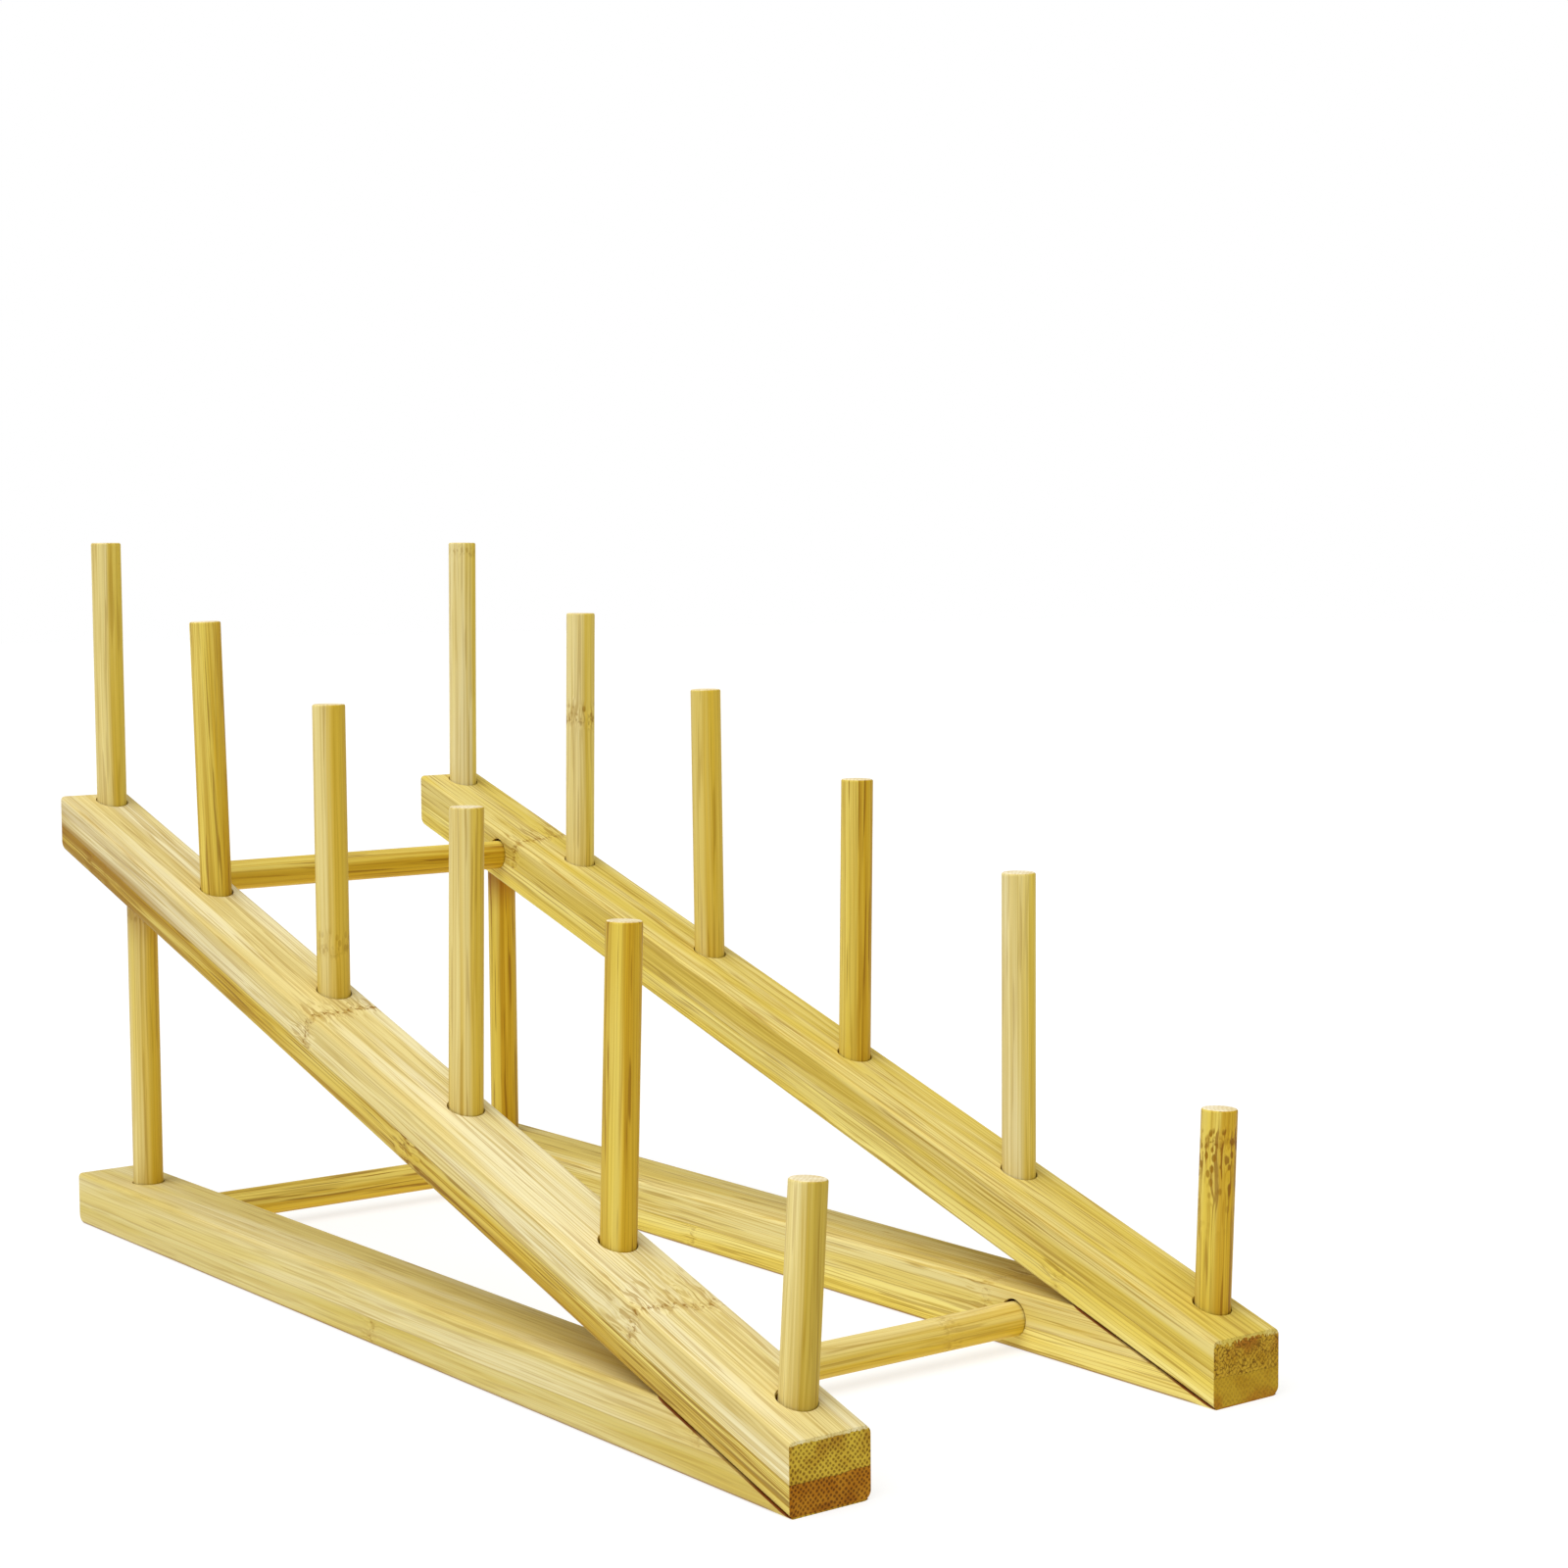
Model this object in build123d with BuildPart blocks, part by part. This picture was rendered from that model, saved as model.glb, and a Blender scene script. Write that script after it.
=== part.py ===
"""Bamboo dish drying rack: two wedge-shaped side frames with upright pegs, joined by three cross dowels.

The frame of the part: +Y runs to the high rear end, +X to the right as seen from the low front end, +Z is up.
The origin is on the floor, below the middle of the rack. All lengths are in millimetres.
"""
from build123d import *
from math import cos, radians, sin, tan
import os

# ---------------------------------------------------------------- driving dimensions

# Bar stock that all four rails are cut from
rail_width = 20.0
rail_thickness = 14.0

# Side frames, measured along the floor from the front end
slope_deg = 17.5
sloping_rail_run = 330.0
base_rail_run = 324.5
gap_between_frames = 94.5

# Rounding of the rails' edges
left_edge_radius = 1.0
right_edge_radius = 1.7
rear_top_radius = 1.2
rear_bottom_radius = 2.6

# Scarf joint at the front, where the base rail tapers away under the sloping rail
scarf_tip_thickness = 0.3
scarf_hollow = 0.35

# Dowels, and the loose holes that they stand in
dowel_radius = 4.0
hole_radius = 4.35
dowel_end_radius = 0.6

# Pegs, in order from the low front end to the high rear end of each rail
first_peg_y = 12.0
peg_pitch = 62.3
front_peg_length = 53.5
peg_length = 80.0
peg_seat_depths = {
    "left": (10.0, 11.5, 11.0, 9.5, 9.8, 8.6),
    "right": (10.0, 9.2, 10.5, 9.5, 9.5, 8.7),
}
# Distance of each peg hole to the right of the middle of its rail
peg_offsets = {
    "left": (1.2, 1.6, 2.3, 2.9, 2.9, 2.5),
    "right": (1.7, 1.1, 1.7, 2.1, 1.8, 1.2),
}
# Lean of each peg towards +X, in degrees
peg_leans = {
    "left": (3.8, 2.0, 1.1, 0.0, -1.3, 0.0),
    "right": (2.5, 0.0, 1.0, -0.5, 1.0, 0.7),
}

# Upright posts at the rear, between each base rail and its sloping rail
post_y = 300.5
post_seat_depth = 8.0

# Cross dowels between the two frames, which rest on the bottom of their blind holes
upper_dowel_y = 286.5
rear_dowel_y = 288.0
front_dowel_y = 64.0
cross_dowel_seat_depth = 10.0
cross_dowel_end_gap = 0.3

# Countersunk screw driven from below through each scarf joint
screw_y = 31.0
screw_length = 20.0
screw_head_radius = 3.5
screw_head_recess = 0.3
screw_shank_length = 5.0
thread_crest_radius = 1.75
thread_root_radius = 1.2
thread_pitch = 1.6
thread_turns = 7
screw_clearance = 0.05
pilot_hole_extra_depth = 0.5
driver_recess_width = 1.0
driver_recess_length = 4.2
driver_recess_depth = 1.3
driver_recess_taper = 15

# ---------------------------------------------------------------- worked-out places

slope = tan(radians(slope_deg))
rail_height = rail_thickness / cos(radians(slope_deg))
front_y = -sloping_rail_run / 2
rear_y = sloping_rail_run / 2
base_rear_y = front_y + base_rail_run
scarf_run = (rail_thickness - scarf_tip_thickness) / slope
frame_centre_x = (gap_between_frames + rail_width) / 2
frame_centres = {"left": -frame_centre_x, "right": frame_centre_x}
half_gap = gap_between_frames / 2
seat_half_length = half_gap + cross_dowel_seat_depth
base_mid_height = rail_thickness / 2
dowel_play = hole_radius - dowel_radius
screw_head_height = screw_head_radius - thread_crest_radius
screw_hole_radius = thread_crest_radius + screw_clearance
on_bottom = (Align.CENTER, Align.CENTER, Align.MIN)


def underside(distance):
    """Height of a sloping rail's lower face, at a distance from the front end."""
    return scarf_tip_thickness + slope * distance


def topside(distance):
    """Height of a sloping rail's upper face, at a distance from the front end."""
    return underside(distance) + rail_height


peg_distances = [first_peg_y + number * peg_pitch for number in range(len(peg_leans["left"]))]
upper_dowel_height = underside(upper_dowel_y) + rail_height / 2


def peg_axis_middle(side, number):
    """The point about which a peg leans, halfway down its hole."""
    distance = peg_distances[number]
    hole_x = frame_centres[side] + peg_offsets[side][number]
    return hole_x, front_y + distance, topside(distance) - peg_seat_depths[side][number] / 2


def peg_foot_height(side, number):
    """Height of a leaning peg's lowest point, where it stands on the bottom of its hole."""
    lean = radians(abs(peg_leans[side][number]))
    below_middle = peg_seat_depths[side][number] / 2 - dowel_end_radius
    foot_radius = dowel_radius - dowel_end_radius
    rounding_height = peg_axis_middle(side, number)[2] - below_middle * cos(lean) - foot_radius * sin(lean)
    return rounding_height - dowel_end_radius


def outer_face_plane(side):
    """The upright plane of a frame's left face, on which the rails' side profiles are drawn."""
    return Plane.YZ.offset(frame_centres[side] - rail_width / 2)


def cross_hole_plane(side, distance, dowel_height):
    """The mouth of a cross dowel's hole in a frame's inner face, with its normal going into the wood."""
    outward = -1 if side == "left" else 1
    mouth = (outward * half_gap, front_y + distance, dowel_height + dowel_play)
    return Plane(origin=mouth, x_dir=(0, 1, 0), z_dir=(outward, 0, 0))


def save(part, name):
    """Label one finished piece and write it to its own file."""
    part.label = name
    export_step(part, f"parts/{name}.step")


# ---------------------------------------------------------------- rails


def make_sloping_rail(side):
    """A straight bar with plumb-cut ends, six peg holes, and blind holes for post, dowel and screw."""
    centre_x = frame_centres[side]
    with BuildPart() as rail:
        with BuildSketch(outer_face_plane(side)) as profile:
            with BuildLine():
                Polyline(
                    (front_y, underside(0)),
                    (rear_y, underside(sloping_rail_run)),
                    (rear_y, topside(sloping_rail_run)),
                    (front_y, topside(0)),
                    close=True,
                )
            make_face()
            fillet(profile.vertices().sort_by(Axis.Y)[-1], rear_top_radius)
            fillet(profile.vertices().group_by(Axis.X)[-1].sort_by(Axis.Y)[0], rear_bottom_radius)
        extrude(amount=rail_width)
        for face_number, radius in ((0, left_edge_radius), (-1, right_edge_radius)):
            side_face = rail.faces().sort_by(Axis.X)[face_number]
            fillet(side_face.edges().sort_by(Axis.Y)[1:], radius)

        # Peg holes, upright and open at the top
        for number in range(len(peg_distances)):
            with BuildSketch(Plane.XY.offset(peg_foot_height(side, number))):
                with Locations(peg_axis_middle(side, number)[:2]):
                    Circle(hole_radius)
            extrude(amount=2 * rail_height, mode=Mode.SUBTRACT)

        # Post hole, upright and open at the bottom
        with BuildSketch(Plane.XY.offset(underside(post_y) + post_seat_depth)):
            with Locations((centre_x, front_y + post_y)):
                Circle(hole_radius)
        extrude(amount=-2 * rail_height, mode=Mode.SUBTRACT)

        # Hole for the upper cross dowel
        with BuildSketch(cross_hole_plane(side, upper_dowel_y, upper_dowel_height)):
            Circle(hole_radius)
        extrude(amount=cross_dowel_seat_depth + cross_dowel_end_gap, mode=Mode.SUBTRACT)

        # Hole for the screw's thread
        with BuildSketch(Plane.XY):
            with Locations((centre_x, front_y + screw_y)):
                Circle(screw_hole_radius)
        extrude(amount=screw_head_recess + screw_length + pilot_hole_extra_depth, mode=Mode.SUBTRACT)
    return rail.part


def make_base_rail(side):
    """A bar that lies on the floor and tapers to a thin tip in front, with holes for post, dowels and screw."""
    centre_x = frame_centres[side]
    scarf_middle = (front_y + scarf_run / 2, underside(scarf_run / 2) - scarf_hollow)
    with BuildPart() as rail:
        with BuildSketch(outer_face_plane(side)) as profile:
            with BuildLine():
                Polyline(
                    (front_y, underside(0)),
                    (front_y, 0),
                    (base_rear_y, 0),
                    (base_rear_y, rail_thickness),
                    (front_y + scarf_run, rail_thickness),
                )
                ThreePointArc((front_y + scarf_run, rail_thickness), scarf_middle, (front_y, underside(0)))
            make_face()
            fillet(profile.vertices().group_by(Axis.X)[-1].sort_by(Axis.Y)[-1], rear_top_radius)
            fillet(profile.vertices().group_by(Axis.X)[-1].sort_by(Axis.Y)[0], rear_bottom_radius)
        extrude(amount=rail_width)

        for face_number, radius in ((0, left_edge_radius), (-1, right_edge_radius)):
            side_face = rail.faces().sort_by(Axis.X)[face_number]
            fillet(side_face.edges().sort_by(Axis.Y)[2:], radius)

        # Post hole, upright and open at the top
        with BuildSketch(Plane.XY.offset(rail_thickness - post_seat_depth)):
            with Locations((centre_x, front_y + post_y)):
                Circle(hole_radius)
        extrude(amount=rail_thickness, mode=Mode.SUBTRACT)

        # Holes for the two lower cross dowels
        for distance in (front_dowel_y, rear_dowel_y):
            with BuildSketch(cross_hole_plane(side, distance, base_mid_height)):
                Circle(hole_radius)
            extrude(amount=cross_dowel_seat_depth + cross_dowel_end_gap, mode=Mode.SUBTRACT)

        # Countersunk hole for the screw
        with Locations((centre_x, front_y + screw_y, 0)):
            Cylinder(screw_head_radius, screw_head_recess, align=on_bottom, mode=Mode.SUBTRACT)
            Cylinder(screw_hole_radius, rail_thickness, align=on_bottom, mode=Mode.SUBTRACT)
        with Locations((centre_x, front_y + screw_y, screw_head_recess)):
            Cone(screw_head_radius, thread_crest_radius, screw_head_height, align=on_bottom, mode=Mode.SUBTRACT)
    return rail.part


# ---------------------------------------------------------------- dowels


def make_dowel(axis_plane, length):
    """A round dowel with rounded ends that starts on a plane and follows its normal."""
    with BuildPart() as dowel:
        with BuildSketch(axis_plane):
            Circle(dowel_radius)
        extrude(amount=length)
        fillet(dowel.edges().filter_by(GeomType.CIRCLE), dowel_end_radius)
    return dowel.part


def make_peg(side, number):
    """A peg that leans in its loose hole about the middle of the seat."""
    length = front_peg_length if number == 0 else peg_length
    leaning = Plane(origin=peg_axis_middle(side, number)).rotated((0, peg_leans[side][number], 0))
    return make_dowel(leaning.offset(-peg_seat_depths[side][number] / 2), length)


def make_post(side):
    """The upright post between a base rail and its sloping rail."""
    bottom = rail_thickness - post_seat_depth
    top = underside(post_y) + post_seat_depth
    return make_dowel(Plane(origin=(frame_centres[side], front_y + post_y, bottom)), top - bottom)


def make_cross_dowel(distance, height):
    """A dowel between the two frames that lies on the bottom of its holes."""
    left_end = (-seat_half_length, front_y + distance, height)
    return make_dowel(Plane(origin=left_end, x_dir=(0, 1, 0), z_dir=(1, 0, 0)), 2 * seat_half_length)


# ---------------------------------------------------------------- screws


def make_screw(side):
    """A countersunk wood screw, point up, with a cross recess in its head and ridges for its thread."""
    head_top = screw_head_recess + screw_head_height
    thread_start = head_top + screw_shank_length
    axis_x = frame_centres[side]
    axis_y = front_y + screw_y
    with BuildPart() as screw:
        with BuildSketch(Plane.XZ.offset(-axis_y)):
            with BuildLine():
                outline = [(axis_x, screw_head_recess), (axis_x + screw_head_radius, screw_head_recess)]
                outline.append((axis_x + thread_crest_radius, head_top))
                for turn in range(thread_turns):
                    ridge = thread_start + thread_pitch * turn
                    outline.append((axis_x + thread_crest_radius, ridge))
                    outline.append((axis_x + thread_root_radius, ridge + thread_pitch / 3))
                outline.append((axis_x, screw_head_recess + screw_length))
                Polyline(outline, close=True)
            make_face()
        revolve(axis=Axis((axis_x, axis_y, 0), (0, 0, 1)))
        with BuildSketch(Plane.XY.offset(screw_head_recess)):
            with Locations((axis_x, axis_y)):
                Rectangle(driver_recess_length, driver_recess_width)
                Rectangle(driver_recess_width, driver_recess_length)
        extrude(amount=driver_recess_depth, taper=driver_recess_taper, mode=Mode.SUBTRACT)
    return screw.part


# ---------------------------------------------------------------- the pieces

os.makedirs("parts", exist_ok=True)

for side in frame_centres:
    save(make_sloping_rail(side), f"sloping_rail_{side}")
    save(make_base_rail(side), f"base_rail_{side}")
    for number in range(len(peg_distances)):
        save(make_peg(side, number), f"peg_{side}_{number + 1}")
    save(make_post(side), f"rear_post_{side}")
    save(make_screw(side), f"scarf_screw_{side}")

save(make_cross_dowel(upper_dowel_y, upper_dowel_height), "upper_cross_dowel")
save(make_cross_dowel(rear_dowel_y, base_mid_height), "rear_cross_dowel")
save(make_cross_dowel(front_dowel_y, base_mid_height), "front_cross_dowel")
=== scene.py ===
"""Looks of the bamboo dish drying rack: laminated bars, round dowels and plated screws in a white studio.

Everything is in metres in the rack's own frame: +Y to the high rear end, +X to the right, +Z up.
The wood is worked out in millimetres in each piece's own grain: across, through its thickness, and along.
Each noise in a piece is set off by its own amount from that piece's seed.
"""
import bpy
import math
from mathutils import Matrix, Vector


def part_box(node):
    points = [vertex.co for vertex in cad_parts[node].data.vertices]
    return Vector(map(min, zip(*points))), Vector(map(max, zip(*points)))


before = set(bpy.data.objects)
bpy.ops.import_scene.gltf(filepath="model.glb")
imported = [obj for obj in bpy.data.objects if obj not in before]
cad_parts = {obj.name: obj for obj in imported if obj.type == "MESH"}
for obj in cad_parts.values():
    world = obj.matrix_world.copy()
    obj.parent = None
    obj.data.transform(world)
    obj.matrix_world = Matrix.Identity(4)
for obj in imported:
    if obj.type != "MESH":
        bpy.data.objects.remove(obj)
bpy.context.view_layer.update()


def screen(red, green, blue):
    """The linear colour of a screen colour given from 0 to 255."""
    def linear(value):
        part = value / 255
        return part / 12.92 if part <= 0.04045 else ((part + 0.055) / 1.055) ** 2.4
    return (linear(red), linear(green), linear(blue), 1.0)


MM = 1000.0  # millimetres in a metre
SLOPE = math.radians(17.5)
SIDES = ("left", "right")

# Colours of what lies on the wood, and of the shade painted on it
# Hole walls and the scarf face: partly drill-burnt wood, partly painted shade
HOLE_BURN_AND_SHADE_BROWN = screen(118, 60, 22)
# Painted shade in the seam gap, and the painted contact shadow under the base rails
PAINTED_SHADE_BROWN = screen(124, 56, 12)
# Painted shade on a base rail under the sloping rail
SHADE_GOLD = (0.92, 0.8, 0.45, 1.0)
# Painted reddish shade at the posts' tops, under the rails
POST_TOP_SHADE_RED = screen(142, 66, 24)
STAIN_BROWN = screen(150, 104, 12)

# How far each mark covers the wood under it
COVER = {
    "stain": 0.35,
    "pits": 0.7,
    "red_end": 0.8,
    "glue": 0.4,
    "browned": 0.8,
    "buried": 0.9,
    "seam": 0.95,
    "shade": 0.35,
    "contact_shadow": 0.7,
}

# Between which values of its noise each pattern fades in
BANDS_SHOW = (0.48, 0.68)
PATCHES_SHOW = (0.42, 0.6)
SPECKS_SHOW = (0.54, 0.62)
DARK_END_SHOWS = (0.35, 0.65)
RED_END_SHOWS = (0.35, 0.6)
CHIPS_SHOW = (0.4, 0.7)
BROWNED_SHOWS = (0.3, 0.55)

# How near the middle of its cell each dotted pattern fades in
BUNDLES_SHOW = (0.45, 0.2)
PORES_SHOW = (0.4, 0.24)

# How squarely a face has to look along the grain to be cut across it
CUT_ACROSS = (0.62, 0.86)

# Fibres: the bundles' spacing and how far all fibres drift, in millimetres, and a thread's width in its noise
FIBRE_SPACING = 0.9
FIBRE_DRIFT = 3.0
THREAD_WIDTH = 0.07

# Dashes: where in their noise they start, how softly, and how much sooner and stronger round a ring
DASHES_FROM = 0.59
DASHES_FADE = 0.08
DASHES_SOONER = 0.07
DASHES_STRONGER = 0.15

# Node rings, in millimetres: how far one wanders, how soon after it the fibres start to straighten, and how
# far they swing
RING_WOBBLE = 6.0
RING_LAG = 2.0
RING_CURL = 3.0

# How far from a ring the stain, the pits and the paler wood reach, in millimetres, and how much paler it is
STAIN_REACH = 1.5
PIT_REACH = 2.6
PALE_REACH = 5.0
PALE_GAIN = 0.04

# How strongly pores show round a ring
BAR_PORES = 0.12
DOWEL_PORES = 1.2

# Bars: the glue line's height as a share of the thickness, and in millimetres how far it wanders, how sharply
# the layers part there, how wide the glue shows, and how far the upper layer's fibres are shifted
GLUE_LINE = 0.45
GLUE_WANDER = 1.8
GLUE_EDGE = 0.08
GLUE_SMEAR = 0.25
LAYER_SHIFT = 7.3

# Bars, in millimetres: how far from the glue line the end grain reddens, how deep the chipped edge is at
# least, and how far inside the outer faces the wood of a hole or of the joint starts
REDDENS_FROM = (2.5, 7.0)
CHIP_LEAST = 0.12
BURIED_FROM = (0.62, 1.1)

# The brown stain, in millimetres: how high up a bar it is full, and how far over the bar it would fade out
BROWNED_LOW = 3.0
BROWNED_OVER = 4.0

# The scarf joint's painted shade, in millimetres: where the seam ends along a sloping rail, its height there
# and its depth on a base rail, how deep the joint shades the base rail, and the contact shadow's height and
# depth below it
SEAM_ENDS = (52.0, 44.0)
SEAM_HEIGHT = (0.3, 0.1)
SEAM_DEPTH = (0.4, 0.2)
SHADE_DEPTH = 16.0
CONTACT_SHADOW_HEIGHT = (0.95, 0.35)
CONTACT_SHADOW_DEPTH = (0.8, 2.5)

# Dowels: the radius in millimetres, and how far from a dowel's tip its end face reaches, in metres
DOWEL_RADIUS = 4.0
DOWEL_END_REACH = 0.0012

# The skin's tint lies on the side away from the key light, so it is partly painted shade
# Where the skin's colour fades in, in radii from the axis, and how ragged its edge is
SKIN_AND_SHADE_SHOWS = (-0.15, 0.8)
SKIN_AND_SHADE_RAGGED = 1.8

# How far below a post's top its painted reddish shade starts, and where it is full, in millimetres
TOP_SHADE_FROM = 26.0
TOP_SHADE_FULL = 11.0

# The relief's height from each layer, and its depth in metres for a height of 1
RELIEF = {"fine": 0.45, "threads": 0.5, "bundles": -0.12, "end_bundles": -0.7, "pits": -1.2}
RELIEF_DEPTH = 0.00006

# The lacquer's roughness, how much wear and end grain add, and its gloss
LACQUER_ROUGH = 0.42
LACQUER_WORN = 0.16
LACQUER_END = 0.25
LACQUER_GLOSS = 0.1

# ---------------------------------------------------------------- shader building blocks


class Graph:
    """Short ways to add nodes to one shader tree. A value is a number, a vector, a colour or an output."""

    def __init__(self, tree):
        self.tree = tree

    def feed(self, socket, value):
        """Link an output to a socket, or set the socket's own value."""
        if isinstance(value, bpy.types.NodeSocket):
            self.tree.links.new(value, socket)
        else:
            socket.default_value = value

    def add(self, kind, inputs, output=0, **settings):
        """Add a node with its settings, feed the inputs named or numbered, and give one output."""
        node = self.tree.nodes.new(kind)
        for key, value in settings.items():
            setattr(node, key, value)
        for key, value in inputs.items():
            self.feed(node.inputs[key], value)
        return node.outputs[output]

    def math(self, operation, *values):
        """One step of arithmetic."""
        return self.add("ShaderNodeMath", dict(enumerate(values)), operation=operation)

    def product(self, first, *others):
        """All values multiplied together."""
        result = first
        for other in others:
            result = self.math("MULTIPLY", result, other)
        return result

    def total(self, first, *others):
        """All values added together."""
        result = first
        for other in others:
            result = self.math("ADD", result, other)
        return result

    def smallest(self, first, *others):
        """The least of all values."""
        result = first
        for other in others:
            result = self.math("MINIMUM", result, other)
        return result

    def step(self, value, low, high):
        """A smooth rise from 0 at low to 1 at high, or a fall where high is the lower one."""
        if low > high:
            return self.math("SUBTRACT", 1.0, self.step(value, high, low))
        inputs = {"Value": value, "From Min": low, "From Max": high}
        return self.add("ShaderNodeMapRange", inputs, interpolation_type="SMOOTHSTEP")

    def bell(self, value, width):
        """1 where the value is 0, falling smoothly to 0 at the width on both sides."""
        return self.step(self.math("ABSOLUTE", value), width, 0.0)

    def vector(self, x, y, z):
        """Three values as one vector."""
        return self.add("ShaderNodeCombineXYZ", {0: x, 1: y, 2: z})

    def vector_math(self, operation, *values, output="Vector"):
        """One step of vector arithmetic."""
        return self.add("ShaderNodeVectorMath", dict(enumerate(values)), output, operation=operation)

    def noise(self, place, scales, detail=2.0, roughness=0.5, seed=0.0, output="Fac"):
        """Soft noise whose grain is set apart along each axis; scales are in cycles per millimetre."""
        scaled = self.vector_math("MULTIPLY_ADD", place, scales, (seed, 1.7 * seed, 2.3 * seed))
        inputs = {"Vector": scaled, "Scale": 1.0, "Detail": detail, "Roughness": roughness}
        return self.add("ShaderNodeTexNoise", inputs, output)

    def mix(self, factor, first, second, blend="MIX"):
        """A blend of two colours."""
        inputs = {0: factor, 6: first, 7: second}
        return self.add("ShaderNodeMix", inputs, 2, data_type="RGBA", clamp_factor=True, blend_type=blend)

    def tint(self, colour, factor):
        """A colour made lighter or darker by a factor that changes over the surface."""
        return self.mix(1.0, colour, self.vector(factor, factor, factor), blend="MULTIPLY")


def new_material(name):
    """An empty material with its principled shader, and the graph to build it with."""
    material = bpy.data.materials.new(name)
    material.use_nodes = True
    return material, Graph(material.node_tree), material.node_tree.nodes["Principled BSDF"]


# ---------------------------------------------------------------- bamboo


def grain_place(graph, origin, axes):
    """Where a point lies in a piece's own grain: across, through and along, in millimetres."""
    point = graph.add("ShaderNodeTexCoord", {}, "Object")
    moved = graph.vector_math("SUBTRACT", point, tuple(origin))
    return [graph.vector_math("DOT_PRODUCT", moved, tuple(axis * MM), output="Value") for axis in axes]


def end_grain(graph, along):
    """1 where the surface is cut across the grain, 0 on the long faces."""
    normal = graph.add("ShaderNodeNewGeometry", {}, "True Normal")
    facing = graph.vector_math("DOT_PRODUCT", normal, tuple(along), output="Value")
    return graph.step(graph.math("ABSOLUTE", facing), *CUT_ACROSS)


class NodeMarks:
    """The rings of a bamboo culm's nodes: where they bend the fibres, and where they stain, pit or pale them.

    A mark is its distance along the piece at the left and the right edge, how far it disturbs the fibres
    before and after it, where it counts, and its strength. Porous is how strongly the pores show round it.
    """

    def __init__(self, graph, place, parts, marks, width, porous, seed):
        across, _, along = parts
        wobble = graph.noise(place, (0.3, 0.3, 0.004), detail=3.0, roughness=0.6, seed=seed)
        wobble = graph.product(graph.math("SUBTRACT", wobble, 0.5), RING_WOBBLE)
        turned, ringed, pitted, paled = 0.0, 0.0, 0.0, 0.0
        for left, right, before, after, mask, strength in marks:
            ring = graph.total(left, graph.product(across, (right - left) / width), wobble)
            offset = graph.math("SUBTRACT", along, ring)
            strong = graph.product(mask, strength)
            turning = graph.product(graph.step(offset, -before, 0.0), graph.step(offset, after, RING_LAG))
            turned = graph.total(turned, graph.product(turning, strong))
            ringed = graph.total(ringed, graph.product(graph.bell(offset, STAIN_REACH), strong))
            pitted = graph.total(pitted, graph.product(graph.bell(offset, PIT_REACH), strong))
            paled = graph.total(paled, graph.product(graph.bell(offset, PALE_REACH), strong))
        self.pale = paled
        self.turned = turned
        self.bend = self.swirl(graph, place, seed + 1.0)
        patch = graph.step(graph.noise(place, (0.6, 0.6, 0.15), seed=seed + 2.0), *PATCHES_SHOW)
        self.stain = graph.product(ringed, patch)
        speck = graph.noise(place, (1.2, 1.2, 0.7), detail=1.0, seed=seed + 3.0)
        specks = graph.product(graph.step(speck, *SPECKS_SHOW), pitted)
        self.pits = graph.math("MAXIMUM", specks, self.pores(graph, place, porous))

    def swirl(self, graph, place, seed):
        """How far the fibres are pushed sideways, in millimetres."""
        curl = graph.noise(place, (0.4, 0.4, 0.11), detail=1.0, seed=seed, output="Color")
        curl = graph.vector_math("SUBTRACT", curl, (0.5, 0.5, 0.5))
        curl = graph.vector_math("MULTIPLY", curl, (RING_CURL, RING_CURL, 0.0))
        swirled = graph.math("MINIMUM", self.turned, 1.0)
        return graph.add("ShaderNodeVectorMath", {0: curl, "Scale": swirled}, operation="SCALE")

    def pores(self, graph, place, porous):
        """Short dark pores that lie along the grain wherever the fibres are turned."""
        inputs = {"Vector": graph.vector_math("MULTIPLY", place, (0.66, 0.66, 0.36)), "Scale": 1.0}
        nearest = graph.add("ShaderNodeTexVoronoi", inputs, "Distance")
        return graph.product(graph.step(nearest, *PORES_SHOW), self.turned, porous)


class Fibres:
    """The layers of fibre that every piece shows, as values from 0 to 1.

    Bundles are the culm's vessels, in a loose lattice across the grain: dots on an end, long lines on a face.
    The others are noises stretched along the grain, from broad tones down to fine threads and short dashes.
    A shift sets the lower and the upper layer of a bar apart.
    """

    def __init__(self, graph, place, marks, shift, seed):
        drift = graph.noise(place, (0.08, 0.08, 0.008), seed=seed, output="Color")
        drift = graph.vector_math("SUBTRACT", drift, (0.5, 0.5, 0.5))
        bent = graph.vector_math("MULTIPLY_ADD", drift, (FIBRE_DRIFT, FIBRE_DRIFT, 0.0), place)
        bent = graph.vector_math("ADD", bent, marks.bend)
        shifted = graph.vector_math("ADD", bent, graph.vector(shift, shift, 0.0))
        slant = 1 / (FIBRE_SPACING * math.sqrt(2))
        rows = graph.vector(
            graph.vector_math("DOT_PRODUCT", shifted, (slant, slant, 0.0), output="Value"),
            graph.vector_math("DOT_PRODUCT", shifted, (slant, -slant, 0.0), output="Value"),
            0.0,
        )
        inputs = {"Vector": rows, "Scale": 1.0, "Randomness": 0.3}
        nearest = graph.add("ShaderNodeTexVoronoi", inputs, "Distance", voronoi_dimensions="2D")
        self.bundles = graph.step(nearest, *BUNDLES_SHOW)
        self.broad = graph.noise(shifted, (0.16, 0.16, 0.008), detail=2.0, seed=seed + 5.0)
        self.bands = graph.noise(shifted, (0.45, 0.45, 0.004), detail=2.0, seed=seed + 7.0)
        self.threads = graph.noise(shifted, (1.1, 1.1, 0.007), detail=1.0, seed=seed + 8.0)
        self.fine = graph.noise(shifted, (2.4, 2.4, 0.02), detail=2.0, seed=seed + 9.0)
        self.dashes = graph.noise(shifted, (1.2, 1.2, 0.03), detail=1.0, seed=seed + 11.0)


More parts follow.
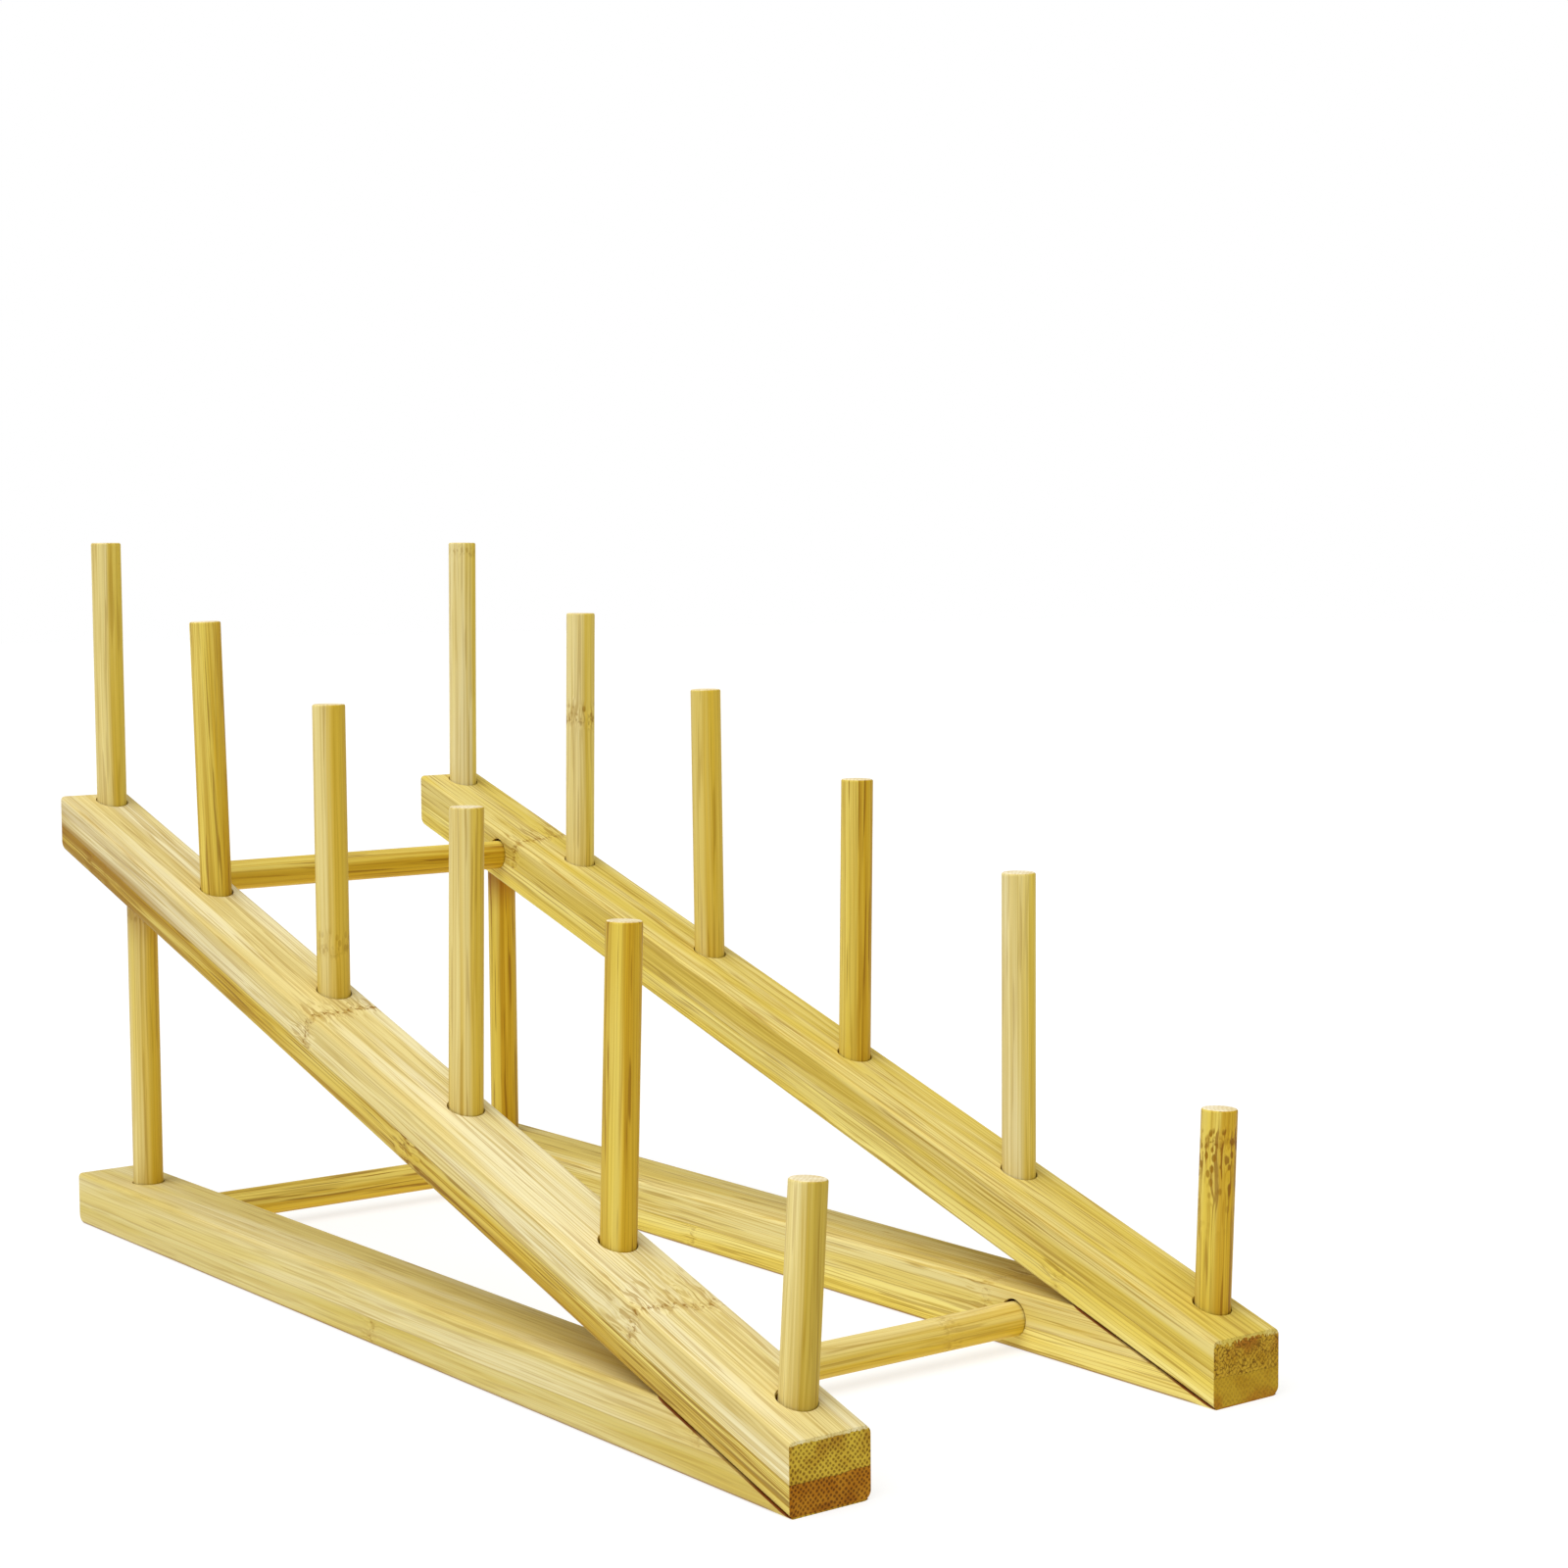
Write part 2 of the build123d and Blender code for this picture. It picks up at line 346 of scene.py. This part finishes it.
def long_grain_colour(graph, fibres, marks, look):
    """The colour of a face along the grain."""
    gold = graph.step(fibres.broad, look["gold_from"], look["gold_to"])
    colour = graph.mix(gold, look["pale"], look["gold"])
    bands = graph.step(fibres.bands, *BANDS_SHOW)
    colour = graph.mix(graph.product(bands, look["bands"]), colour, look["line"])
    threads = graph.bell(graph.math("SUBTRACT", fibres.threads, 0.5), THREAD_WIDTH)
    colour = graph.mix(graph.product(threads, look["threads"]), colour, look["line"])
    colour = graph.mix(graph.product(fibres.bundles, look["bundles"]), colour, look["line"])
    edge = graph.total(DASHES_FROM, graph.product(marks.turned, -DASHES_SOONER))
    dashes = graph.step(graph.math("SUBTRACT", fibres.dashes, edge), 0.0, DASHES_FADE)
    strength = graph.total(look["dashes"], graph.product(marks.turned, DASHES_STRONGER))
    colour = graph.mix(graph.product(dashes, strength), colour, look["dash"])
    fine = graph.total(1.0 - look["fine"] / 2, graph.product(fibres.fine, look["fine"]))
    colour = graph.tint(colour, fine)
    colour = graph.tint(colour, graph.total(1.0, graph.product(marks.pale, PALE_GAIN)))
    colour = graph.mix(graph.product(marks.stain, COVER["stain"]), colour, look["dash"])
    return graph.mix(graph.product(marks.pits, COVER["pits"]), colour, look["pit"])


def end_grain_colour(graph, fibres, place, skinward, look, seed):
    """The colour of a face across the grain: fibre bundles as dots, in a field that reddens to the skin."""
    blotch = graph.noise(place, (0.22, 0.22, 0.22), detail=3.0, seed=seed)
    field = graph.mix(graph.step(blotch, *DARK_END_SHOWS), look["end"], look["end_dark"])
    reddened = graph.product(skinward, graph.step(blotch, *RED_END_SHOWS), COVER["red_end"])
    field = graph.mix(reddened, field, look["end_skin"])
    maze = graph.noise(place, (0.9, 0.9, 0.9), detail=0.0, seed=seed + 1.0)
    maze = graph.bell(graph.math("SUBTRACT", maze, 0.5), THREAD_WIDTH)
    maze = graph.product(maze, look["end_maze"])
    field = graph.mix(maze, field, look["end_dot"])
    dots = graph.product(fibres.bundles, look["end_dots"], graph.total(0.6, graph.product(blotch, 0.8)))
    return graph.mix(dots, field, look["end_dot"])


def surface_relief(graph, fibres, marks, end):
    """A normal with fine raised grain, shallow fibre grooves and pits, rougher on the end grain."""
    bundles = graph.total(RELIEF["bundles"], graph.product(end, RELIEF["end_bundles"]))
    height = graph.total(
        graph.product(fibres.fine, RELIEF["fine"]),
        graph.product(fibres.threads, RELIEF["threads"]),
        graph.product(fibres.bundles, bundles),
        graph.product(marks.pits, RELIEF["pits"]),
    )
    inputs = {"Strength": 1.0, "Distance": RELIEF_DEPTH, "Height": height}
    return graph.add("ShaderNodeBump", inputs, "Normal")


def finish_bamboo(graph, shader, place, colour, fibres, marks, end, seed):
    """Satin lacquer over the wood: uneven gloss, duller on the end grain."""
    graph.feed(shader.inputs["Base Color"], colour)
    worn = graph.product(graph.noise(place, (0.15, 0.15, 0.02), seed=seed), LACQUER_WORN)
    roughness = graph.total(LACQUER_ROUGH, worn, graph.product(end, LACQUER_END))
    graph.feed(shader.inputs["Roughness"], roughness)
    graph.feed(shader.inputs["Normal"], surface_relief(graph, fibres, marks, end))
    shader.inputs["Specular IOR Level"].default_value = LACQUER_GLOSS


# Tones of one layer of bamboo. A look changes what it needs of these.
#   pale, gold: the two tones of a face along the grain
#   gold_from, gold_to: between which values of the broad noise the gold takes over
#   line: the colour of bands, threads and bundles, which each have their own strength
#   dash, dashes: the colour and the strength of the short marks
#   pit, fine: the colour of pits and pores, and how far the finest noise changes the tone
#   end, end_dark, end_skin: the end grain's two tones, and its red near the skin
#   end_dot: the colour of its dots and winding lines, whose strengths are end_dots and end_maze
#   chips: how many millimetres deep the saw tore the end's upper edge
PALE_LOOK = {
    "pale": screen(243, 231, 182),
    "gold": screen(234, 216, 146),
    "gold_from": 0.4,
    "gold_to": 0.6,
    "line": screen(198, 170, 86),
    "bands": 0.35,
    "threads": 0.6,
    "bundles": 0.08,
    "dash": screen(170, 132, 48),
    "dashes": 0.4,
    "pit": screen(152, 106, 18),
    "fine": 0.2,
    "end": screen(212, 180, 58),
    "end_dark": screen(196, 158, 44),
    "end_skin": screen(176, 130, 36),
    "end_dot": screen(118, 84, 16),
    "end_dots": 0.8,
    "end_maze": 0.0,
    "chips": 0.35,
}
BROWN_LOOK = dict(
    PALE_LOOK,
    pale=screen(231, 211, 114),
    gold=screen(209, 176, 56),
    line=screen(166, 124, 28),
    bands=0.4,
    threads=0.85,
    dash=screen(132, 88, 16),
    dashes=0.7,
    end=screen(190, 130, 30),
    end_dark=screen(172, 108, 16),
    end_skin=screen(150, 90, 14),
    end_dot=screen(96, 54, 6),
)
PALE_STRAW_LOOK = dict(
    PALE_LOOK,
    pale=screen(230, 216, 159),
    gold=screen(223, 204, 125),
    line=screen(198, 170, 84),
    bands=0.3,
    threads=0.45,
    dashes=0.3,
)
STRAW_LOOK = dict(
    PALE_STRAW_LOOK,
    pale=screen(221, 205, 135),
    gold=screen(211, 190, 98),
)
GOLD_LOOK = dict(
    PALE_LOOK,
    pale=screen(231, 213, 133),
    gold=screen(220, 196, 90),
    line=screen(190, 157, 54),
    bands=0.25,
    threads=0.7,
    dash=screen(154, 112, 26),
    dashes=0.45,
    end=screen(204, 164, 48),
    end_dark=screen(186, 142, 30),
    end_skin=screen(170, 98, 26),
    end_dot=screen(112, 78, 10),
    end_dots=0.45,
    end_maze=0.95,
    chips=1.3,
)
OLIVE_LOOK = dict(
    GOLD_LOOK,
    pale=screen(243, 227, 136),
    gold=screen(235, 212, 98),
    end=screen(196, 158, 40),
    end_dark=screen(184, 142, 30),
    end_skin=screen(176, 106, 22),
    end_dots=0.25,
    end_maze=0.2,
)
LIGHT_GOLD_LOOK = dict(
    OLIVE_LOOK,
    pale=screen(235, 220, 151),
    gold=screen(228, 208, 117),
    line=screen(200, 168, 70),
)


def scarf_depth(graph):
    """How far a point lies under the plane of the scarf joint, the underside of the sloping rails."""
    low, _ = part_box("sloping_rail_left")
    normal = (0.0, math.sin(SLOPE) * MM, -math.cos(SLOPE) * MM)
    moved = graph.vector_math("SUBTRACT", graph.add("ShaderNodeTexCoord", {}, "Object"), (0.0, low.y, low.z))
    return graph.vector_math("DOT_PRODUCT", moved, normal, output="Value")


def joint_painted_shade(graph, colour, slope, level, height, sides):
    """Painted shade at the scarf joint: a dark seam along the gap, and on a base rail the shade under the
    sloping rail and a painted contact shadow along its lower edge.

    The sides value is 1 on the long faces, so the seam isn't drawn over the end grain.
    """
    if slope > 0.0:
        # Painted shade in the seam gap: a dark line low on the sloping rail near the joint
        near_joint = graph.step(level, *SEAM_ENDS)
        seam = graph.product(graph.step(height, *SEAM_HEIGHT), near_joint, sides)
        return graph.mix(graph.product(seam, COVER["seam"]), colour, PAINTED_SHADE_BROWN)
    depth = scarf_depth(graph)
    # Painted shade on the base rail's top under the sloping rail, deepest at the joint
    shade = graph.step(depth, SHADE_DEPTH, 0.0)
    colour = graph.mix(graph.product(shade, COVER["shade"]), colour, SHADE_GOLD, blend="MULTIPLY")
    # Painted contact shadow along the base rail's lower edge, fading out towards the joint's tip
    contact_shadow = graph.product(graph.step(height, *CONTACT_SHADOW_HEIGHT), graph.step(depth, *CONTACT_SHADOW_DEPTH))
    colour = graph.mix(graph.product(contact_shadow, COVER["contact_shadow"]), colour, PAINTED_SHADE_BROWN)
    # Painted shade in the seam gap, along the base rail just under the joint
    seam = graph.product(graph.step(depth, *SEAM_DEPTH), sides)
    return graph.mix(graph.product(seam, COVER["seam"]), colour, PAINTED_SHADE_BROWN)


class BarPlace:
    """A bar's sizes in millimetres, and how far a point on it lies from its faces."""

    def __init__(self, graph, node, slope):
        low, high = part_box(node)
        self.along = Vector((0, math.cos(slope), math.sin(slope)))
        through = Vector((0, -math.sin(slope), math.cos(slope)))
        self.width = (high.x - low.x) * MM
        self.run = (high.y - low.y) * MM
        self.thickness = ((high.z - low.z) * MM - self.run * math.tan(slope)) * math.cos(slope)
        axes = (Vector((1, 0, 0)), through, self.along, Vector((0, 1, 0)))
        self.across, self.height, self.distance, self.level = grain_place(graph, low, axes)
        self.parts = (self.across, self.height, self.distance)
        self.place = graph.vector(*self.parts)
        self.below_top = graph.math("SUBTRACT", self.thickness, self.height)

    def above_glue(self, graph, seed):
        """The height over the glue line between the two layers, which wanders along the bar."""
        uneven = graph.noise(self.place, (0.1, 0.0, 0.012), detail=3.0, seed=seed)
        middle = self.thickness * GLUE_LINE - GLUE_WANDER / 2
        return graph.math("SUBTRACT", self.height, graph.total(middle, graph.product(uneven, GLUE_WANDER)))

    def buried(self, graph):
        """1 inside the drilled holes and the scarf joint, 0 on the bar's outer faces."""
        inside = graph.smallest(
            self.across,
            graph.math("SUBTRACT", self.width, self.across),
            self.height,
            self.below_top,
            self.level,
            graph.math("SUBTRACT", self.run, self.level),
        )
        return graph.step(inside, *BURIED_FROM)

    def chipped(self, graph, chips, seed):
        """1 along the upper edge of the ends, where the saw tore the wood out raggedly."""
        ragged = graph.noise(self.place, (0.7, 0.0, 0.0), detail=3.0, roughness=0.7, seed=seed)
        depth = graph.product(graph.step(ragged, *CHIPS_SHOW), chips)
        return graph.math("LESS_THAN", self.below_top, graph.total(depth, CHIP_LEAST))

    def browned(self, graph, reach, bands):
        """The weathered stain that grows towards the rear, low on the bar and along its darker bands."""
        low_down = graph.step(self.height, self.thickness + BROWNED_OVER, BROWNED_LOW)
        stained = graph.product(graph.step(self.distance, *reach), low_down, COVER["browned"])
        return graph.product(stained, graph.step(bands, *BROWNED_SHOWS))


def bamboo_bar(name, node, slope, upper_look, lower_look, marks, seed):
    """Two layers of bamboo glued flat on each other, cut square along a sloping or level bar."""
    material, graph, shader = new_material(name)
    bar = BarPlace(graph, node, slope)
    place = bar.place
    above_glue = bar.above_glue(graph, seed + 37.0)
    upper = graph.step(above_glue, -GLUE_EDGE, GLUE_EDGE)
    masks = {"upper": upper, "lower": graph.math("SUBTRACT", 1.0, upper)}
    rings = [(*where, masks[layer], strength) for *where, layer, strength in marks]
    node_marks = NodeMarks(graph, place, bar.parts, rings, bar.width, BAR_PORES, seed + 20.0)
    fibres = Fibres(graph, place, node_marks, graph.product(upper, LAYER_SHIFT), seed)

    top_colour = long_grain_colour(graph, fibres, node_marks, upper_look)
    low_colour = long_grain_colour(graph, fibres, node_marks, lower_look)
    colour = graph.mix(upper, low_colour, top_colour)
    smear = graph.product(graph.bell(above_glue, GLUE_SMEAR), COVER["glue"])
    colour = graph.mix(smear, colour, lower_look["dash"])
    if node in STAINED:
        colour = graph.mix(bar.browned(graph, STAINED[node], fibres.bands), colour, STAIN_BROWN)

    end = end_grain(graph, bar.along)
    skinward = graph.step(graph.math("ABSOLUTE", above_glue), *REDDENS_FROM)
    top_end = end_grain_colour(graph, fibres, place, skinward, upper_look, seed + 31.0)
    low_end = end_grain_colour(graph, fibres, place, skinward, lower_look, seed + 31.0)
    end_colour = graph.mix(upper, low_end, top_end)
    whole = graph.math("SUBTRACT", 1.0, bar.chipped(graph, upper_look["chips"], seed + 33.0))
    colour = graph.mix(graph.product(end, whole), colour, end_colour)

    # Painted shade on the walls of the holes and on the scarf face, partly drill-burnt wood
    colour = graph.mix(graph.product(bar.buried(graph), COVER["buried"]), colour, HOLE_BURN_AND_SHADE_BROWN)
    sides = graph.math("SUBTRACT", 1.0, end)
    colour = joint_painted_shade(graph, colour, slope, bar.level, bar.height, sides)
    finish_bamboo(graph, shader, place, colour, fibres, node_marks, end, seed + 35.0)
    return material


def dowel_axis(node):
    """The middle of a dowel's first end, and the direction to its other end, from its two end faces."""
    points = [vertex.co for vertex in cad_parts[node].data.vertices]
    low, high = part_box(node)
    size = high - low
    longest = max(range(3), key=lambda axis: size[axis])
    ends = []
    for edge in (low[longest], high[longest]):
        near = [point for point in points if abs(point[longest] - edge) < DOWEL_END_REACH]
        ends.append(sum(near, Vector()) / len(near))
    return ends[0], (ends[1] - ends[0]).normalized()


def bamboo_dowel(name, node, look, skin_and_shade_side, marks, seed, top_shade):
    """A round dowel turned from one strip, yellower towards the side that lay at the skin of the culm. That
    side is turned away from the key light, so its tint is also painted shade.

    The last argument is how strongly painted reddish shade covers the top, where the dowel enters the rail
    above it.
    """
    foot, along = dowel_axis(node)
    sideways = Vector((0, 0, 1)) if abs(along.z) < 0.5 else Vector((1, 0, 0))
    across = (sideways - along * sideways.dot(along)).normalized()
    through = along.cross(across)

    material, graph, shader = new_material(name)
    parts = grain_place(graph, foot, (across, through, along))
    place = graph.vector(*parts)
    rings = [(distance, distance, before, after, 1.0, strong) for distance, before, after, strong in marks]
    node_marks = NodeMarks(graph, place, parts, rings, DOWEL_RADIUS, DOWEL_PORES, seed + 20.0)
    fibres = Fibres(graph, place, node_marks, 0.0, seed)
    end = end_grain(graph, along)

    # The skin's side faces away from the key light: its tint darkens and yellows the dowel there, partly skin
    # and partly painted shade
    angle = math.radians(skin_and_shade_side)
    towards_skin_and_shade = (math.cos(angle) / DOWEL_RADIUS, math.sin(angle) / DOWEL_RADIUS, 0.0)
    skin = graph.vector_math("DOT_PRODUCT", place, towards_skin_and_shade, output="Value")
    skin = graph.total(skin, graph.product(graph.math("SUBTRACT", fibres.bands, 0.5), SKIN_AND_SHADE_RAGGED))
    skin_and_shade = graph.step(skin, *SKIN_AND_SHADE_SHOWS)
    colour = long_grain_colour(graph, fibres, node_marks, look)
    colour = graph.mix(skin_and_shade, colour, look["skin"], blend="MULTIPLY")
    low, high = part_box(node)
    tall = (high.z - low.z) * MM
    # Painted reddish shade at the top, where the dowel enters the rail above
    top_shading = graph.step(parts[2], tall - TOP_SHADE_FROM, tall - TOP_SHADE_FULL)
    colour = graph.mix(graph.product(top_shading, top_shade), colour, POST_TOP_SHADE_RED)
    # On the end face the red follows the same side, so it too is partly painted shade
    colour = graph.mix(end, colour, end_grain_colour(graph, fibres, place, skin_and_shade, look, seed + 31.0))
    finish_bamboo(graph, shader, place, colour, fibres, node_marks, end, seed + 35.0)
    return material


# Tones of the dowels; skin multiplies the wood's colour on the skin's side, away from the key light: partly
# painted shade
PALE_DOWEL = dict(
    PALE_LOOK,
    pale=screen(240, 226, 168),
    gold=screen(236, 218, 144),
    line=screen(196, 166, 74),
    bands=0.3,
    threads=0.4,
    dashes=0.35,
    skin=(0.96, 0.85, 0.28, 1.0),
    end=screen(248, 237, 204),
    end_dark=screen(238, 221, 174),
    end_skin=screen(232, 212, 160),
    end_dot=screen(206, 176, 104),
    end_dots=0.4,
)
DEEP_SKIN_AND_SHADE_DOWEL = dict(PALE_DOWEL, skin=(0.74, 0.62, 0.19, 1.0))
MID_DOWEL = dict(
    PALE_DOWEL,
    pale=screen(232, 213, 140),
    gold=screen(228, 205, 112),
    line=screen(192, 158, 58),
    dashes=0.4,
    skin=(0.95, 0.82, 0.26, 1.0),
)
GOLD_DOWEL = dict(
    PALE_DOWEL,
    pale=screen(234, 212, 108),
    gold=screen(228, 201, 82),
    line=screen(184, 144, 44),
    dash=screen(138, 88, 20),
    bands=0.4,
    threads=0.5,
    dashes=0.6,
    skin=(0.9, 0.74, 0.24, 1.0),
)


# ---------------------------------------------------------------- the bars

# Each bar's slope, its upper and lower layers, and its node marks: the distance at the left and right edges,
# the reach before and after, the layer and the strength
BARS = {
    "sloping_rail_left": (SLOPE, PALE_LOOK, BROWN_LOOK, [
        (57.4, 53.2, 4.0, 20.0, "upper", 1.1),
        (201.4, 203.0, 5.0, 10.0, "upper", 1.2),
        (150.8, 150.8, 12.0, 8.0, "lower", 1.2),
        (325.9, 325.9, 30.0, 10.0, "lower", 0.6),
    ]),
    "sloping_rail_right": (SLOPE, GOLD_LOOK, OLIVE_LOOK, [
        (294.0, 298.0, 4.0, 12.0, "upper", 1.0),
        (52.4, 52.4, 4.0, 8.0, "lower", 0.5),
    ]),
    "base_rail_left": (0.0, PALE_STRAW_LOOK, STRAW_LOOK, [
        (31.0, 31.0, 4.0, 12.0, "upper", 0.5),
        (160.0, 160.0, 4.0, 6.0, "lower", 0.7),
    ]),
    "base_rail_right": (0.0, LIGHT_GOLD_LOOK, OLIVE_LOOK, [
        (73.5, 73.5, 4.0, 12.0, "upper", 0.5),
        (191.0, 191.0, 3.0, 8.0, "lower", 0.5),
    ]),
}

# The bars whose lower layer browns along the grain, and between which distances
STAINED = {"sloping_rail_left": (215.0, 320.0)}


def dress(node, material):
    """Give a CAD node its material."""
    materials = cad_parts[node].data.materials
    materials.clear()
    materials.append(material)


for number, (node, (slope, upper_look, lower_look, marks)) in enumerate(BARS.items()):
    seed = 10.0 + 40.0 * number
    dress(node, bamboo_bar(f"bamboo_{node}", node, slope, upper_look, lower_look, marks, seed))

# ---------------------------------------------------------------- the dowels

# The look of each dowel, the side its skin faces in degrees, away from the key light so its tint is also
# painted
# shade, and its node marks: the distance along it, the reach before and after, and the strength
DOWELS = {
    "peg_left_1": (DEEP_SKIN_AND_SHADE_DOWEL, -65.0, []),
    "peg_left_2": (GOLD_DOWEL, -60.0, []),
    "peg_left_3": (MID_DOWEL, -50.0, []),
    "peg_left_4": (MID_DOWEL, -45.0, [(20.0, 3.0, 6.0, 0.4)]),
    "peg_left_5": (GOLD_DOWEL, -35.0, []),
    "peg_left_6": (PALE_DOWEL, -30.0, []),
    "peg_right_1": (GOLD_DOWEL, -45.0, [(46.0, 24.0, 4.0, 1.1)]),
    "peg_right_2": (PALE_DOWEL, -35.0, []),
    "peg_right_3": (GOLD_DOWEL, -45.0, []),
    "peg_right_4": (MID_DOWEL, -60.0, []),
    "peg_right_5": (PALE_DOWEL, -30.0, [(50.0, 4.0, 6.0, 0.8)]),
    "peg_right_6": (PALE_DOWEL, -25.0, [(77.5, 1.5, 2.0, 0.45)]),
    "rear_post_left": (MID_DOWEL, -40.0, [(82.0, 3.0, 5.0, 0.5)]),
    "rear_post_right": (GOLD_DOWEL, -60.0, []),
    "upper_cross_dowel": (GOLD_DOWEL, 140.0, []),
    "rear_cross_dowel": (GOLD_DOWEL, 150.0, []),
    "front_cross_dowel": (MID_DOWEL, 150.0, [(82.0, 3.0, 5.0, 0.4)]),
}

# How strongly painted reddish shade covers the posts' tops, where they enter the rail above
TOP_SHADED = {"rear_post_left": 0.35, "rear_post_right": 0.7}

for number, (node, (look, skin_and_shade_side, marks)) in enumerate(DOWELS.items()):
    seed = 200.0 + 13.0 * number
    top_shade = TOP_SHADED.get(node, 0.0)
    dress(node, bamboo_dowel(f"bamboo_{node}", node, look, skin_and_shade_side, marks, seed, top_shade))

# ---------------------------------------------------------------- the screws

# The steel's roughness, how much its dull patches add, and how deep it is scratched, in metres
STEEL_ROUGH = 0.24
STEEL_DULLED = 0.2
SCRATCH_DEPTH = 0.00002


def plated_steel():
    """Zinc-plated steel, brushed a little and dulled in patches."""
    material, graph, shader = new_material("zinc_plated_steel")
    place = graph.vector_math("MULTIPLY", graph.add("ShaderNodeTexCoord", {}, "Object"), (MM, MM, MM))
    dull = graph.noise(place, (0.9, 0.9, 0.9), detail=3.0, seed=2.0)
    scratch = graph.noise(place, (6.0, 0.7, 6.0), detail=2.0, seed=5.0)
    colour = graph.mix(graph.step(dull, 0.35, 0.7), screen(206, 204, 196), screen(176, 172, 160))
    graph.feed(shader.inputs["Base Color"], colour)
    graph.feed(shader.inputs["Roughness"], graph.total(STEEL_ROUGH, graph.product(dull, STEEL_DULLED)))
    inputs = {"Strength": 0.6, "Distance": SCRATCH_DEPTH, "Height": scratch}
    graph.feed(shader.inputs["Normal"], graph.add("ShaderNodeBump", inputs, "Normal"))
    shader.inputs["Metallic"].default_value = 1.0
    return material


steel = plated_steel()
for side in SIDES:
    dress(f"scarf_screw_{side}", steel)

# ---------------------------------------------------------------- studio

WHITE = (1.0, 1.0, 1.0, 1.0)
FILL_GREY = (0.3, 0.3, 0.3, 1.0)
FLOOR_GREYS = ((0.29, 0.29, 0.29, 1.0), (0.31, 0.31, 0.31, 1.0))
FLOOR_SIZE = 12.0
FLOOR_GLOW = 0.74
KEY_STRENGTH = 2.65
KEY_SPREAD = math.radians(60)
KEY_FROM = Vector((-0.36, -0.06, 0.93))


def make_floor():
    """A plain floor with a faint mottle, which glows enough to meet the white backdrop without an edge."""
    bpy.ops.mesh.primitive_plane_add(size=FLOOR_SIZE, location=(0, 0, 0))
    floor = bpy.context.object
    floor.name = "studio_floor"
    material, graph, shader = new_material("studio_white")
    point = graph.add("ShaderNodeTexCoord", {}, "Object")
    mottle = graph.add("ShaderNodeTexNoise", {"Vector": point, "Scale": 30.0, "Detail": 4.0}, "Fac")
    colour = graph.mix(mottle, *FLOOR_GREYS)
    graph.feed(shader.inputs["Base Color"], colour)
    shader.inputs["Roughness"].default_value = 0.7
    shader.inputs["Specular IOR Level"].default_value = 0.2
    shader.inputs["Emission Color"].default_value = WHITE
    shader.inputs["Emission Strength"].default_value = FLOOR_GLOW
    floor.data.materials.append(material)


def make_world():
    """A white backdrop where the camera looks, and a dimmer grey fill where light is gathered."""
    world = bpy.data.worlds.new("studio")
    bpy.context.scene.world = world
    world.use_nodes = True
    graph = Graph(world.node_tree)
    background = world.node_tree.nodes["Background"]
    seen = graph.add("ShaderNodeLightPath", {}, "Is Camera Ray")
    graph.feed(background.inputs["Color"], graph.mix(seen, FILL_GREY, WHITE))


def make_key_light():
    """One very large soft light, high on the left and a little to the front."""
    light = bpy.data.lights.new("key", "SUN")
    light.energy = KEY_STRENGTH
    light.angle = KEY_SPREAD
    lamp = bpy.data.objects.new("key", light)
    lamp.rotation_euler = KEY_FROM.to_track_quat("Z", "Y").to_euler()
    bpy.context.scene.collection.objects.link(lamp)


def make_camera():
    """A view from the front left, as high as the rear pegs, turned, dipped and tilted by radians."""
    place = Vector((-0.3967, -0.5956, 0.1818))
    turn = 0.653
    dip = 0.076
    tilt = -0.007
    forward = Vector((math.sin(turn) * math.cos(dip), math.cos(turn) * math.cos(dip), -math.sin(dip)))
    level = Vector((math.cos(turn), -math.sin(turn), 0))
    upright = level.cross(forward)
    right = math.cos(tilt) * level + math.sin(tilt) * upright
    up = math.cos(tilt) * upright - math.sin(tilt) * level
    data = bpy.data.cameras.new("camera")
    data.sensor_width = 36.0
    data.lens = 66.93
    camera = bpy.data.objects.new("camera", data)
    camera.matrix_world = Matrix.Translation(place) @ Matrix((right, up, -forward)).transposed().to_4x4()
    bpy.context.scene.collection.objects.link(camera)
    bpy.context.scene.camera = camera


make_floor()
make_world()
make_key_light()
make_camera()
bpy.context.scene.view_settings.view_transform = "Standard"
